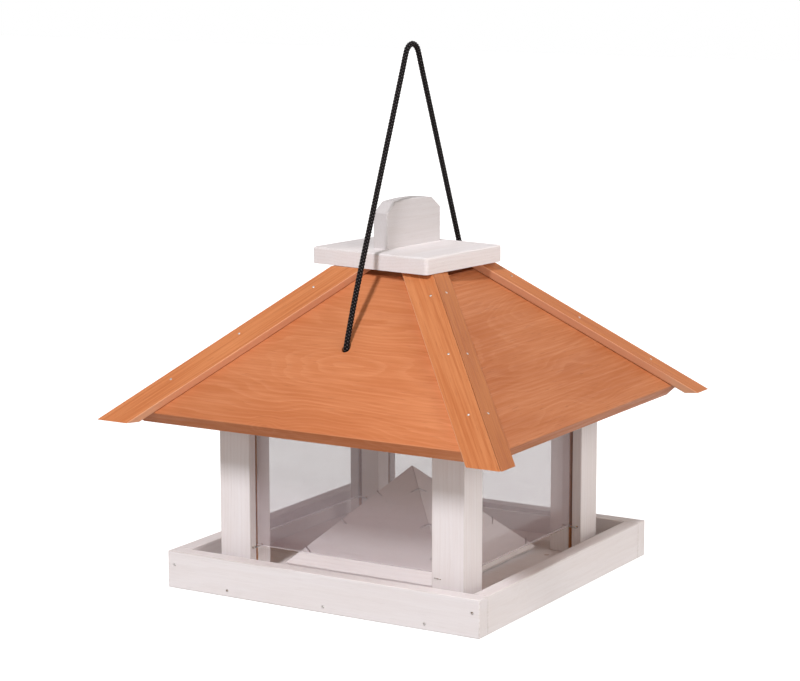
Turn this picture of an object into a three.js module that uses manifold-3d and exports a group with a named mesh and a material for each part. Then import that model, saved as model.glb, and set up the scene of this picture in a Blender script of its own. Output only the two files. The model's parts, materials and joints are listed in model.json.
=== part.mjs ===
// Hanging bird table with a seed silo, in millimetres.
// A nailed tray carries four grooved posts, four clear panes and a small pyramid that spreads the seed.
// A hipped roof of four mitred boards sits on the posts, its hips covered by battens.
// A loose lid with a handle closes the filling hole, and a rope through the roof hangs the table up.
// X runs along the front, Y runs from front to back and Z points up.
// The origin is where a hook bears: under the rope, at the top of its loop.
import * as THREE from 'three';
import { mergeVertices } from 'three/addons/utils/BufferGeometryUtils.js';
import Module from 'manifold-3d';

const wasm = await Module();
wasm.setup();

// Height of the hook above the underside of the tray
const hookHeight = 395.75;

// Tray
const trayWidth = 264;
const railHeight = 28;
const railThickness = 12;
const baseThickness = 9;

// Posts, and the saw grooves that hold the panes
const gutterWidth = 16.25;
const postWidth = 26.4;
const grooveInset = 9.2;
const grooveDepth = 7;

// Panes
const paneThickness = 2;
const paneEndGap = 0.8;
const panePlay = 4;

// Wire staples that carry the panes
const stapleHeight = 30.2;
const stapleCrown = 12.8;
const stapleWire = 1.1;
const stapleStandoff = 1.6;
const stapleLeg = 9;

// Seed pyramid inside the silo
const pyramidSetback = 7.95;
const pyramidPitch = 45;
const pyramidBoard = 5;

// Roof
const eaveOverhang = 19.1;
const eaveHeight = 135.4;
const roofPitch = 40.7;
const roofBoard = 12;
const fillingHole = 77.8;

// Battens along the hips, wider on the front and back boards than on the side boards
const battenWidth = 21.6;
const sideBattenWidth = 16.2;
const battenThickness = 6;
const battenFootDrop = 6.1;
const battenHeadRise = 4.1;

// Lid, which lies loose and a little askew
const lidLength = 106.4;
const lidDepth = 93.8;
const lidThickness = 12.4;
const lidCorner = 3.2;
const lidRound = 1.6;
const lidTurn = -6.7;
const lidShiftX = -5;
const lidShiftY = 1.45;

// Handle on the lid
const handleLength = 65.5;
const handleThickness = 13;
const handleHeight = 35.1;
const handleChamfer = 9.5;
const handleRound = 1.1;
const handleCrown = 1.2;
const handleShiftX = -4.7;
const handleShiftY = 5.9;

// Block under the lid that keeps it over the filling hole
const blockPlay = 9;
const blockDepth = 10;

// Rope, its holes and its stopper knots
const ropeDiameter = 4.5;
const ropeHolePlay = 0.95;
const ropeHoleSetback = 0.55;
const ropeHoleTilt = 20;
const ropeLean = 19.5;
const knotLength = 12;
const knotDiameter = 10.5;

// Screws up through the base board into the posts
const postScrewLength = 40;
const postScrewShank = 3.5;
const postScrewHead = 7;
const postScrewHeadHeight = 2.8;

// Screws up through the lid into its handle
const lidScrewLength = 30;
const lidScrewShank = 3;
const lidScrewHead = 6;
const lidScrewHeadHeight = 2.4;
const lidScrewSpacing = 36;

// Nails of the tray
const nailLength = 25;
const nailShank = 1.3;
const nailHead = 1.9;
const nailHeadHeight = 0.6;
const cornerNailHeight = 17.8;
const baseNailShares = [-0.3, 0.015, 0.333];

// Clearances, and how far a cutting tool runs past what it cuts
const seatGap = 0.3;
const slideGap = 0.3;
const pinGap = 0.3;
const overrun = 5;
const weldDistance = 0.0001;

// Colours and finishes
const whitewash = { color: 0xe4dcda, roughness: 0.72, metalness: 0 };
const stain = { color: 0xc67a50, roughness: 0.6, metalness: 0 };
const battenStain = { color: 0xc4743e, roughness: 0.6, metalness: 0 };
const acrylic = { color: 0xdfe2ee, roughness: 0.08, metalness: 0, transparent: true, opacity: 0.3 };
const cordBlack = { color: 0x1c1b1c, roughness: 0.85, metalness: 0 };
const wire = { color: 0x9b9a96, roughness: 0.4, metalness: 1 };

// Places that follow from the driving sizes
const trayHalf = trayWidth / 2;
const trayInner = trayHalf - railThickness;
const postOuter = trayInner - gutterWidth;
const postInner = postOuter - postWidth;
const grooveCentre = postOuter - grooveInset;
const grooveWidth = paneThickness + 2 * slideGap;
const paneFoot = stapleHeight + stapleWire / 2 + seatGap;
const paneOuter = grooveCentre + paneThickness / 2;
const paneInner = paneOuter - paneThickness;
const eaveHalf = trayHalf + eaveOverhang;
const pitch = THREE.MathUtils.degToRad(roofPitch);
const eaveDrop = roofBoard * Math.cos(pitch);
const eaveInset = roofBoard * Math.sin(pitch);
const roofTopHalf = fillingHole / 2;
const roofTopHeight = roofHeightAt(roofTopHalf);
const battenFootHeight = eaveHeight - battenFootDrop;
const battenHeadHeight = roofTopHeight + battenHeadRise;
const ropeHoleDiameter = ropeDiameter + 2 * ropeHolePlay;
const ropeHoleReach = paneInner - ropeHoleSetback;
const cutSpan = 2 * eaveHalf;
const cutHeight = hookHeight;

// Height of the roof's outer face at a distance from the middle of the table
function roofHeightAt(reach) {
  return eaveHeight + (eaveHalf - reach) * Math.tan(pitch);
}

// Height of the roof's underside at a distance from the middle of the table
function underRoofAt(reach) {
  return roofHeightAt(reach) - roofBoard / Math.cos(pitch);
}

// A closed mesh turned into a solid that can be joined and cut
function toSolid(geometry) {
  const bare = geometry.clone();
  bare.deleteAttribute('normal');
  bare.deleteAttribute('uv');
  const welded = mergeVertices(bare, weldDistance);
  const indices = Array.from(welded.index.array);
  const triangles = [];
  for (let i = 0; i < indices.length; i += 3) {
    const triangle = indices.slice(i, i + 3);
    if (new Set(triangle).size === 3) triangles.push(...triangle);
  }
  return new wasm.Manifold(new wasm.Mesh({
    numProp: 3,
    vertProperties: Float32Array.from(welded.attributes.position.array),
    triVerts: Uint32Array.from(triangles),
  }));
}

// A solid turned back into a mesh
function toGeometry(solid) {
  const mesh = solid.getMesh();
  const geometry = new THREE.BufferGeometry();
  geometry.setAttribute('position', new THREE.BufferAttribute(mesh.vertProperties, 3));
  geometry.setIndex(new THREE.BufferAttribute(mesh.triVerts, 1));
  geometry.computeVertexNormals();
  return geometry;
}

function cut(geometry, tools) {
  const solid = tools.reduce((body, tool) => body.subtract(toSolid(tool)), toSolid(geometry));
  return toGeometry(solid);
}

function keep(geometry, tools) {
  const solid = tools.reduce((body, tool) => body.intersect(toSolid(tool)), toSolid(geometry));
  return toGeometry(solid);
}

// A box given by its lowest and highest corners
function block(low, high) {
  const size = high.map((value, i) => value - low[i]);
  const middle = high.map((value, i) => (value + low[i]) / 2);
  return new THREE.BoxGeometry(...size).translate(...middle);
}

// A flat outline pulled up by a height
function prism(points, height) {
  const shape = new THREE.Shape(points.map(([x, y]) => new THREE.Vector2(x, y)));
  return new THREE.ExtrudeGeometry(shape, { depth: height, bevelEnabled: false });
}

// An outline in the YZ plane pulled along X to both sides of the middle
function profileAlongX(points, halfLength) {
  const toAxes = new THREE.Matrix4().makeBasis(
    new THREE.Vector3(0, 1, 0), new THREE.Vector3(0, 0, 1), new THREE.Vector3(1, 0, 0));
  return prism(points, 2 * halfLength).translate(0, 0, -halfLength).applyMatrix4(toAxes);
}

// The quarter of the plan that belongs to the front side, up to the mitres on the hips
function frontQuarter() {
  const apex = -seatGap / Math.SQRT2;
  const plan = [[0, apex], [-cutSpan, apex - cutSpan], [cutSpan, apex - cutSpan]];
  return prism(plan, 2 * cutHeight).translate(0, 0, -cutHeight);
}

// A round fastener that points up from its head at the origin
// With a clearance it is the hole for one: larger all over and open below the head
function fastener({ length, shank, head, headHeight, countersunk, sides }, clearance) {
  const headRadius = head / 2 + clearance;
  const shankRadius = shank / 2 + clearance;
  const start = clearance > 0 ? -overrun : 0;
  const rim = countersunk ? -clearance : headHeight + clearance;
  const profile = [[0, start], [headRadius, start]];
  if (rim > start) profile.push([headRadius, rim]);
  profile.push([shankRadius, headHeight + clearance]);
  profile.push([shankRadius, length - shank]);
  profile.push([0, length + clearance]);
  const points = profile.map(([x, y]) => new THREE.Vector2(x, y));
  return new THREE.LatheGeometry(points, sides).rotateX(Math.PI / 2);
}

const group = new THREE.Group();
const table = new THREE.Group();
table.position.z = -hookHeight;
group.add(table);

function addPart(name, geometry, finish, parent = table) {
  const mesh = new THREE.Mesh(geometry, new THREE.MeshStandardMaterial(finish));
  mesh.name = name;
  parent.add(mesh);
  return mesh;
}

// The same piece on all four sides, turned about the middle of the table
const sides = ['front', 'right', 'back', 'left'];
const corners = ['front_right', 'back_right', 'back_left', 'front_left'];

function quarterTurn(index) {
  return index * Math.PI / 2;
}

// Tray nails: one at each end of the front and back rails, three low into the base board
function nail(clearance) {
  return fastener({
    length: nailLength,
    shank: nailShank,
    head: nailHead,
    headHeight: nailHeadHeight,
    countersunk: false,
    sides: 8,
  }, clearance);
}

const nailPlaces = [
  { name: 'corner_left', x: railThickness / 2 - trayHalf, z: cornerNailHeight },
  { name: 'corner_right', x: trayHalf - railThickness / 2, z: cornerNailHeight },
  ...baseNailShares.map((share, i) => (
    { name: `base_${i + 1}`, x: share * trayWidth, z: baseThickness / 2 }
  )),
];

function nailsOf(sideIndex, clearance) {
  return nailPlaces.map(({ x, z }) => nail(clearance)
    .rotateX(-Math.PI / 2)
    .translate(x, -trayHalf, z)
    .rotateZ(quarterTurn(sideIndex)));
}

for (const sideIndex of [0, 2]) {
  nailsOf(sideIndex, 0).forEach((geometry, i) => {
    addPart(`nail_${sides[sideIndex]}_${nailPlaces[i].name}`, geometry, wire);
  });
}

const allNailHoles = [...nailsOf(0, pinGap), ...nailsOf(2, pinGap)];

// Screws that hold the posts, countersunk in the underside of the base board
const postMiddle = postOuter - postWidth / 2;

function postScrew(index, clearance) {
  return fastener({
    length: postScrewLength,
    shank: postScrewShank,
    head: postScrewHead,
    headHeight: postScrewHeadHeight,
    countersunk: true,
    sides: 10,
  }, clearance).translate(postMiddle, -postMiddle, seatGap).rotateZ(quarterTurn(index));
}

corners.forEach((corner, index) => {
  addPart(`post_screw_${corner}`, postScrew(index, 0), wire);
});

// Base board
const baseScrewHoles = corners.map((corner, index) => postScrew(index, pinGap));
addPart('base_board', cut(
  block([-trayInner, -trayInner, 0], [trayInner, trayInner, baseThickness]),
  [...allNailHoles, ...baseScrewHoles],
), whitewash);

// Rails: front and back run the full width, the side rails stand between them
const rails = {
  front: block([-trayHalf, -trayHalf, 0], [trayHalf, -trayInner, railHeight]),
  back: block([-trayHalf, trayInner, 0], [trayHalf, trayHalf, railHeight]),
  left: block([-trayHalf, -trayInner, 0], [-trayInner, trayInner, railHeight]),
  right: block([trayInner, -trayInner, 0], [trayHalf, trayInner, railHeight]),
};
for (const [side, geometry] of Object.entries(rails)) {
  addPart(`tray_rail_${side}`, cut(geometry, allNailHoles), whitewash);
}

// A staple across a pane groove: its crown stands off the post, its two legs are driven in
// It is drawn for the post at the front right, across the groove of the front pane
function staple(clearance) {
  const outer = stapleCrown / 2 + clearance;
  const inner = stapleCrown / 2 - stapleWire - clearance;
  const back = stapleLeg - stapleStandoff + clearance;
  const face = -stapleStandoff - clearance;
  const underCrown = stapleWire - stapleStandoff + clearance;
  const outline = [
    [-outer, face], [outer, face], [outer, back], [inner, back],
    [inner, underCrown], [-inner, underCrown], [-inner, back], [-outer, back],
  ];
  return prism(outline, stapleWire + 2 * clearance)
    .translate(0, 0, stapleHeight - stapleWire / 2 - clearance)
    .rotateZ(-Math.PI / 2)
    .translate(postInner, -grooveCentre, 0);
}

// The second staple of a post mirrors the first one in the post's diagonal
function swapAxes(geometry) {
  const swap = new THREE.Matrix4().set(
    0, -1, 0, 0,
    -1, 0, 0, 0,
    0, 0, 1, 0,
    0, 0, 0, 1);
  const mirrored = geometry.clone().applyMatrix4(swap);
  const flipped = mirrored.index ? mirrored.toNonIndexed() : mirrored;
  const position = flipped.attributes.position;
  for (let i = 0; i < position.count; i += 3) {
    const second = new THREE.Vector3().fromBufferAttribute(position, i + 1);
    const third = new THREE.Vector3().fromBufferAttribute(position, i + 2);
    position.setXYZ(i + 1, ...third.toArray());
    position.setXYZ(i + 2, ...second.toArray());
  }
  flipped.computeVertexNormals();
  return flipped;
}

corners.forEach((corner, index) => {
  const nextSide = sides[(index + 1) % sides.length];
  const first = addPart(`staple_${corner}_for_${sides[index]}_pane`, staple(0), wire);
  first.rotation.z = quarterTurn(index);
  const second = addPart(`staple_${corner}_for_${nextSide}_pane`, swapAxes(staple(0)), wire);
  second.rotation.z = quarterTurn(index);
});

// Posts: two saw grooves each, the head cut to the slopes of the roof
function post() {
  const half = grooveWidth / 2;
  const bottom = postInner + grooveDepth;
  const outline = [
    [postInner, -postOuter],
    [postOuter, -postOuter],
    [postOuter, -postInner],
    [grooveCentre + half, -postInner],
    [grooveCentre + half, -bottom],
    [grooveCentre - half, -bottom],
    [grooveCentre - half, -postInner],
    [postInner, -postInner],
    [postInner, -grooveCentre + half],
    [bottom, -grooveCentre + half],
    [bottom, -grooveCentre - half],
    [postInner, -grooveCentre - half],
  ];
  const column = prism(outline, cutHeight).translate(0, 0, baseThickness);
  const clearance = seatGap / Math.cos(pitch);
  const underRoof = [
    [-cutSpan, -cutHeight],
    [cutSpan, -cutHeight],
    [cutSpan, underRoofAt(cutSpan) - clearance],
    [0, underRoofAt(0) - clearance],
    [-cutSpan, underRoofAt(cutSpan) - clearance],
  ];
  const acrossRoof = profileAlongX(underRoof, cutSpan);
  const alongRoof = acrossRoof.clone().rotateZ(Math.PI / 2);
  const shaped = keep(column, [acrossRoof, alongRoof]);
  return cut(shaped, [postScrew(0, pinGap), staple(pinGap), swapAxes(staple(pinGap))]);
}

const postGeometry = post();
corners.forEach((corner, index) => {
  addPart(`post_${corner}`, postGeometry, whitewash).rotation.z = quarterTurn(index);
});

// Panes: they stand on the staples in the grooves and can rise until they meet the roof
const paneHalf = postInner + grooveDepth - paneEndGap;
const paneHead = underRoofAt(paneOuter) - panePlay - slideGap / Math.cos(pitch);
const paneGeometry = block(
  [-paneHalf, -paneOuter, paneFoot],
  [paneHalf, paneThickness - paneOuter, paneHead]);
sides.forEach((side, index) => {
  addPart(`pane_${side}`, paneGeometry, acrylic).rotation.z = quarterTurn(index);
});

// Seed pyramid: four mitred boards that lean on each other and stand on the base board
const pyramidAngle = THREE.MathUtils.degToRad(pyramidPitch);
const pyramidHalf = postInner - pyramidSetback;
const pyramidLip = pyramidBoard * Math.cos(pyramidAngle);
const pyramidInset = pyramidBoard * Math.sin(pyramidAngle);
const pyramidRise = pyramidHalf * Math.tan(pyramidAngle);
const pyramidBed = baseThickness + seatGap;
const pyramidGeometry = keep(profileAlongX([
  [-pyramidHalf, pyramidBed + pyramidLip],
  [pyramidInset - pyramidHalf, pyramidBed],
  [0, pyramidBed + pyramidLip + pyramidRise - pyramidBoard / Math.cos(pyramidAngle)],
  [0, pyramidBed + pyramidLip + pyramidRise],
], pyramidHalf), [frontQuarter()]);
sides.forEach((side, index) => {
  addPart(`pyramid_board_${side}`, pyramidGeometry, whitewash).rotation.z = quarterTurn(index);
});

// Roof boards: square edges at the eave and at the filling hole, mitred along the hips
const roofBoardGeometry = keep(profileAlongX([
  [-eaveHalf, eaveHeight],
  [eaveInset - eaveHalf, eaveHeight - eaveDrop],
  [eaveInset - roofTopHalf, roofTopHeight - eaveDrop],
  [-roofTopHalf, roofTopHeight],
], eaveHalf), [frontQuarter()]);

// The rope holes lean inwards, and their upper lips are relieved along the rope's pull
const holeTilt = THREE.MathUtils.degToRad(ropeHoleTilt);
const pullLean = THREE.MathUtils.degToRad(ropeLean);

function drill(depth) {
  return new THREE.CylinderGeometry(ropeHoleDiameter / 2, ropeHoleDiameter / 2, depth, 16);
}

const drillDepth = 4 * roofBoard;
const ropeHoleTools = [
  drill(drillDepth).rotateX(Math.PI / 2 + holeTilt),
  drill(drillDepth).translate(0, drillDepth / 2, 0).rotateX(Math.PI / 2 - pullLean),
].map((tool) => tool.translate(0, -ropeHoleReach, roofHeightAt(ropeHoleReach)));
const holedRoofBoard = cut(roofBoardGeometry, ropeHoleTools);

sides.forEach((side, index) => {
  const geometry = index % 2 === 0 ? holedRoofBoard : roofBoardGeometry;
  addPart(`roof_board_${side}`, geometry, stain).rotation.z = quarterTurn(index);
});

// Hip battens: two to a hip, one on each board, mitred where they meet
// The first is drawn on the front board, along its right hip
const hipDirection = new THREE.Vector3(1, -1, -Math.tan(pitch)).normalize();
const faceNormal = new THREE.Vector3(0, -Math.sin(pitch), Math.cos(pitch));
const towardsHip = new THREE.Vector3().crossVectors(faceNormal, hipDirection);
const mitreAngle = Math.asin(Math.sin(pitch) * Math.SQRT1_2);
const hipFoot = new THREE.Vector3(eaveHalf, -eaveHalf, eaveHeight);

function batten(width) {
  const top = seatGap + battenThickness;
  const ridge = top * Math.tan(mitreAngle);
  const bar = block(
    [-cutSpan, ridge - width, seatGap],
    [cutSpan, ridge + overrun, top]);
  const placed = bar
    .applyMatrix4(new THREE.Matrix4().makeBasis(hipDirection, towardsHip, faceNormal))
    .translate(...hipFoot.toArray());
  const layer = block(
    [-cutSpan, -cutSpan, battenFootHeight],
    [cutSpan, cutSpan, battenHeadHeight]);
  return keep(placed, [frontQuarter(), layer]);
}

function mirrorX(geometry) {
  return swapAxes(geometry).rotateZ(-Math.PI / 2);
}

const battenGeometries = [battenWidth, sideBattenWidth].map((width) => batten(width));
sides.forEach((side, index) => {
  const geometry = battenGeometries[index % 2];
  const next = sides[(index + 1) % sides.length];
  const last = sides[(index + sides.length - 1) % sides.length];
  const turn = quarterTurn(index);
  addPart(`hip_batten_${side}_to_${next}`, geometry, battenStain).rotation.z = turn;
  addPart(`hip_batten_${side}_to_${last}`, mirrorX(geometry), battenStain).rotation.z = turn;
});

// Lid: plate, handle, locating block and two screws, all loose from the roof
const lid = new THREE.Group();
lid.position.set(lidShiftX, lidShiftY, battenHeadHeight + seatGap);
lid.rotation.z = THREE.MathUtils.degToRad(lidTurn);
table.add(lid);

// A screw that comes up through the plate into the handle
function lidScrew(end, clearance) {
  return fastener({
    length: lidScrewLength,
    shank: lidScrewShank,
    head: lidScrewHead,
    headHeight: lidScrewHeadHeight,
    countersunk: true,
    sides: 10,
  }, clearance).translate(handleShiftX, handleShiftY + end * lidScrewSpacing / 2, seatGap);
}

const lidScrewHoles = [-1, 1].map((end) => lidScrew(end, pinGap));

// A rectangle with round corners
function roundedRectangle(width, depth, radius) {
  const x = width / 2;
  const y = depth / 2;
  const shape = new THREE.Shape();
  shape.moveTo(radius - x, -y);
  shape.lineTo(x - radius, -y);
  shape.absarc(x - radius, radius - y, radius, -Math.PI / 2, 0);
  shape.lineTo(x, y - radius);
  shape.absarc(x - radius, y - radius, radius, 0, Math.PI / 2);
  shape.lineTo(radius - x, y);
  shape.absarc(radius - x, y - radius, radius, Math.PI / 2, Math.PI);
  shape.lineTo(-x, radius - y);
  shape.absarc(radius - x, radius - y, radius, Math.PI, 3 * Math.PI / 2);
  return shape;
}

function lidPlate() {
  const outline = roundedRectangle(
    lidLength - 2 * lidRound, lidDepth - 2 * lidRound, lidCorner - lidRound);
  const body = new THREE.ExtrudeGeometry(outline, {
    depth: lidThickness,
    bevelThickness: lidRound,
    bevelSize: lidRound,
    bevelSegments: 5,
    curveSegments: 6,
  }).translate(0, 0, -lidRound);
  const upperPart = block([-lidLength, -lidDepth, 0], [lidLength, lidDepth, 2 * lidThickness]);
  return cut(keep(body, [upperPart]), lidScrewHoles);
}

addPart('lid_plate', lidPlate(), whitewash, lid);
[-1, 1].forEach((end, i) => {
  addPart(`lid_screw_${['front', 'back'][i]}`, lidScrew(end, 0), wire, lid);
});
const blockHalf = roofTopHalf - eaveInset - blockPlay;
addPart('lid_locating_block', block(
  [-blockHalf, -blockHalf, -blockDepth],
  [blockHalf, blockHalf, 0],
), stain, lid);

// Handle: an upright board with its upper corners cut off and a crowned top
function lidHandle() {
  const half = handleLength / 2 - handleRound;
  const top = handleHeight - handleRound;
  const shoulder = handleHeight - handleChamfer;
  const shape = new THREE.Shape();
  shape.moveTo(-half, -handleHeight);
  shape.lineTo(half, -handleHeight);
  shape.lineTo(half, shoulder);
  shape.lineTo(half - handleChamfer, top - handleCrown);
  shape.quadraticCurveTo(0, top + handleCrown, handleChamfer - half, top - handleCrown);
  shape.lineTo(-half, shoulder);
  const upright = new THREE.Matrix4().makeBasis(
    new THREE.Vector3(0, 1, 0), new THREE.Vector3(0, 0, 1), new THREE.Vector3(1, 0, 0));
  const board = new THREE.ExtrudeGeometry(shape, {
    depth: handleThickness - 2 * handleRound,
    bevelThickness: handleRound,
    bevelSize: handleRound,
    bevelSegments: 4,
    curveSegments: 10,
  });
  board.translate(0, 0, handleRound - handleThickness / 2).applyMatrix4(upright);
  board.translate(handleShiftX, handleShiftY, lidThickness);
  const abovePlate = block(
    [-lidLength, -lidDepth, lidThickness],
    [lidLength, lidDepth, lidThickness + 2 * handleHeight]);
  return cut(keep(board, [abovePlate]), lidScrewHoles);
}

addPart('lid_handle', lidHandle(), whitewash, lid);

// Rope: from a stopper knot under the front board up over the hook and down to the back board
// The points are the rope's middle line in the plane X = 0, seen from the hook
const ropePoints = [
  [-88.5, -222.7],
  [-90.2, -218],
  [-91.9, -213.5],
  [-92.4, -210.4],
  [-91.9, -207.2],
  [-89, -198.9],
  [-84, -184.9],
  [-75, -162],
  [-63.6, -134.8],
  [-50.2, -102.8],
  [-36.8, -70.8],
  [-23.4, -38.8],
  [-14.2, -16.9],
  [-8.6, -3.5],
  [-6.6, -0.5],
  [-3.6, 1.5],
  [0, 2.25],
  [3.6, 1.5],
  [6.6, -0.5],
  [8.6, -3.5],
  [14.2, -16.9],
  [23.4, -38.8],
  [36.8, -70.8],
  [50.2, -102.8],
  [63.6, -134.8],
  [75, -162],
  [84, -184.9],
  [89, -198.9],
  [91.9, -207.2],
  [92.4, -210.4],
  [91.9, -213.5],
  [90.2, -218],
  [88.5, -222.7],
];

const ropeCurve = new THREE.CatmullRomCurve3(
  ropePoints.map(([y, z]) => new THREE.Vector3(0, y, z)), false, 'centripetal');

function rope() {
  const section = new THREE.Shape();
  section.absarc(0, 0, ropeDiameter / 2, 0, 2 * Math.PI);
  return new THREE.ExtrudeGeometry(section, {
    steps: 76,
    curveSegments: 10,
    extrudePath: ropeCurve,
    bevelEnabled: false,
  });
}

addPart('hanging_rope', rope(), cordBlack, group);

// Stopper knots: each is drawn up against the underside of its roof board, under the rope hole
function knot() {
  const rings = 6;
  const outline = [];
  for (let i = 0; i <= rings; i += 1) {
    const angle = Math.PI * i / rings;
    const across = Math.sin(angle) * knotDiameter / 2;
    const along = -Math.cos(angle) * knotLength / 2;
    outline.push(new THREE.Vector2(across, along));
  }
  const lean = pitch - holeTilt;
  const holeLength = roofBoard / Math.cos(lean);
  const touch = Math.hypot(
    Math.sin(lean) * knotDiameter / 2, Math.cos(lean) * knotLength / 2);
  const travel = holeLength + (touch + seatGap) / Math.cos(lean);
  return new THREE.LatheGeometry(outline, 10)
    .rotateX(holeTilt - Math.PI / 2)
    .translate(
      0,
      travel * Math.sin(holeTilt) - ropeHoleReach,
      roofHeightAt(ropeHoleReach) - travel * Math.cos(holeTilt));
}

for (const index of [0, 2]) {
  addPart(`rope_knot_${sides[index]}`, knot(), cordBlack).rotation.z = quarterTurn(index);
}

export default group;
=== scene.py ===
# Hanging bird table, dressed: rope, tray, posts, panes, seed pyramid, roof, battens and lid.
# Lengths are metres in the frame of the solids: X along the front, Y to the back, Z up, the hook at 0.
import json
import math
import random

import bmesh
import bpy
from mathutils import Matrix, Vector

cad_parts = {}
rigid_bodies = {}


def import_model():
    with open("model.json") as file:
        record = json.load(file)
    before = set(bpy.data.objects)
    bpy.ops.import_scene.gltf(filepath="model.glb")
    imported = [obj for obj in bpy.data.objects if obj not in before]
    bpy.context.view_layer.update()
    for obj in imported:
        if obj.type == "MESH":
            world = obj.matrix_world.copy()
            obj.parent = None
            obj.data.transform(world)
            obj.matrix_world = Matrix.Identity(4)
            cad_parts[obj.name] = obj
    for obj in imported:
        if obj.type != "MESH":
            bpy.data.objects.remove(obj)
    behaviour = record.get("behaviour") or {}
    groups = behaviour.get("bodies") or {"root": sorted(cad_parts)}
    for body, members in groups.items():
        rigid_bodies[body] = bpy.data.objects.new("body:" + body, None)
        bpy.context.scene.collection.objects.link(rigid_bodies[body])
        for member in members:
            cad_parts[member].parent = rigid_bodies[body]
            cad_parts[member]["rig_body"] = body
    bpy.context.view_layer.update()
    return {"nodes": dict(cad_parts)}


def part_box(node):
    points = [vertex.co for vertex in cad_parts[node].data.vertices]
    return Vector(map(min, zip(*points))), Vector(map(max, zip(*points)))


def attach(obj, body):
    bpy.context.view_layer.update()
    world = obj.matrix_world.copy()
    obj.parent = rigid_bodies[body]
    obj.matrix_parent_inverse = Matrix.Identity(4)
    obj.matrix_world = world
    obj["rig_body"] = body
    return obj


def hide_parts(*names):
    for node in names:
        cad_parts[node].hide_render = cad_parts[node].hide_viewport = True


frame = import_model()

# Camera
# It looks at the table from the front, a little to the right and from just above the eave.
scene = bpy.context.scene
AIM = Vector((0, 0, -0.23075))
VIEW_AZIMUTH = math.radians(30.66)
VIEW_ELEVATION = math.radians(10.23)
VIEW_DISTANCE = 1.84116

camera_data = bpy.data.cameras.new("camera")
camera_data.lens = 110.67
camera_data.sensor_width = 36
camera_data.shift_x = -0.01529
camera_data.shift_y = 0.02069
camera = bpy.data.objects.new("camera", camera_data)
scene.collection.objects.link(camera)
towards_camera = Vector((
    math.sin(VIEW_AZIMUTH) * math.cos(VIEW_ELEVATION),
    -math.cos(VIEW_AZIMUTH) * math.cos(VIEW_ELEVATION),
    math.sin(VIEW_ELEVATION),
))
camera.location = AIM + VIEW_DISTANCE * towards_camera
camera.rotation_euler = (-towards_camera).to_track_quat("-Z", "Y").to_euler()
scene.camera = camera

# Rope
# One length of black braided cord: up through the front roof board, over the hook, down through
# the back one. It is plaited from two sets of strands that wind opposite ways.
X_AXIS = Vector((1, 0, 0))
ROPE_DIAMETER = 0.0045
ROPE_SIDES = 36
RING_STEP = 0.00034
STRANDS = 4
STITCH = 0.0024
STRAND_FULLNESS = 0.7
BRAID_RELIEF = 0.3
# The plait's gaps are painted near black as painted shade, and the strands' backs lighter as a painted
# highlight.
GAP_SHADE_COLOUR = (0.003, 0.002, 0.002, 1)
STRAND_GLINT_COLOUR = (0.11, 0.1, 0.105, 1)
ROPE_ROUTE = [
    (-0.0885, -0.2227),
    (-0.0902, -0.218),
    (-0.0919, -0.2135),
    (-0.0924, -0.2104),
    (-0.0919, -0.2072),
    (-0.089, -0.1989),
    (-0.084, -0.1849),
    (-0.075, -0.162),
    (-0.0636, -0.1348),
    (-0.0502, -0.1028),
    (-0.0368, -0.0708),
    (-0.0234, -0.0388),
    (-0.0142, -0.0169),
    (-0.0086, -0.0035),
    (-0.0066, -0.0005),
    (-0.0036, 0.0015),
    (0, 0.00225),
    (0.0036, 0.0015),
    (0.0066, -0.0005),
    (0.0086, -0.0035),
    (0.0142, -0.0169),
    (0.0234, -0.0388),
    (0.0368, -0.0708),
    (0.0502, -0.1028),
    (0.0636, -0.1348),
    (0.075, -0.162),
    (0.084, -0.1849),
    (0.089, -0.1989),
    (0.0919, -0.2072),
    (0.0924, -0.2104),
    (0.0919, -0.2135),
    (0.0902, -0.218),
    (0.0885, -0.2227),
]


def smooth_line(points, steps=24):
    """Points of a centripetal Catmull-Rom curve through the given ones."""
    ends = [2 * points[0] - points[1], *points, 2 * points[-1] - points[-2]]
    line = [points[0]]
    for a, b, c, d in zip(ends, ends[1:], ends[2:], ends[3:]):
        t1 = math.sqrt((b - a).length)
        t2 = t1 + math.sqrt((c - b).length)
        t3 = t2 + math.sqrt((d - c).length)
        for i in range(1, steps + 1):
            t = t1 + (t2 - t1) * i / steps
            ab = a.lerp(b, t / t1)
            bc = b.lerp(c, (t - t1) / (t2 - t1))
            cd = c.lerp(d, (t - t2) / (t3 - t2))
            early = ab.lerp(bc, t / t2)
            late = bc.lerp(cd, (t - t1) / (t3 - t1))
            line.append(early.lerp(late, (t - t1) / (t2 - t1)))
    return line


def length_of(line):
    return sum((b - a).length for a, b in zip(line, line[1:]))


def evenly_spaced(line, step):
    """The same line with its points about a step apart."""
    count = round(length_of(line) / step)
    step = length_of(line) / count
    spaced = [line[0]]
    walked = 0
    for a, b in zip(line, line[1:]):
        stretch = (b - a).length
        while len(spaced) <= count - 1 and walked + stretch >= len(spaced) * step:
            spaced.append(a.lerp(b, (len(spaced) * step - walked) / stretch))
        walked += stretch
    return [*spaced, line[-1]]


def braid_height(distance, angle):
    """How high the plait stands, 0 to 1: strands of each set pass over and under the other's."""
    one = STRANDS * angle / 2 + math.pi * distance / STITCH
    other = STRANDS * angle / 2 - math.pi * distance / STITCH
    over = math.cos(one) * math.cos(other)
    first = abs(math.cos(one)) ** STRAND_FULLNESS * (0.5 + 0.5 * over)
    second = abs(math.cos(other)) ** STRAND_FULLNESS * (0.5 - 0.5 * over)
    return max(first, second)


def link_piece(name, bm, material):
    """A bmesh made into an object with its place in its mesh."""
    mesh = bpy.data.meshes.new(name)
    bm.to_mesh(mesh)
    bm.free()
    mesh.materials.append(material)
    piece = bpy.data.objects.new(name, mesh)
    scene.collection.objects.link(piece)
    return piece


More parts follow.
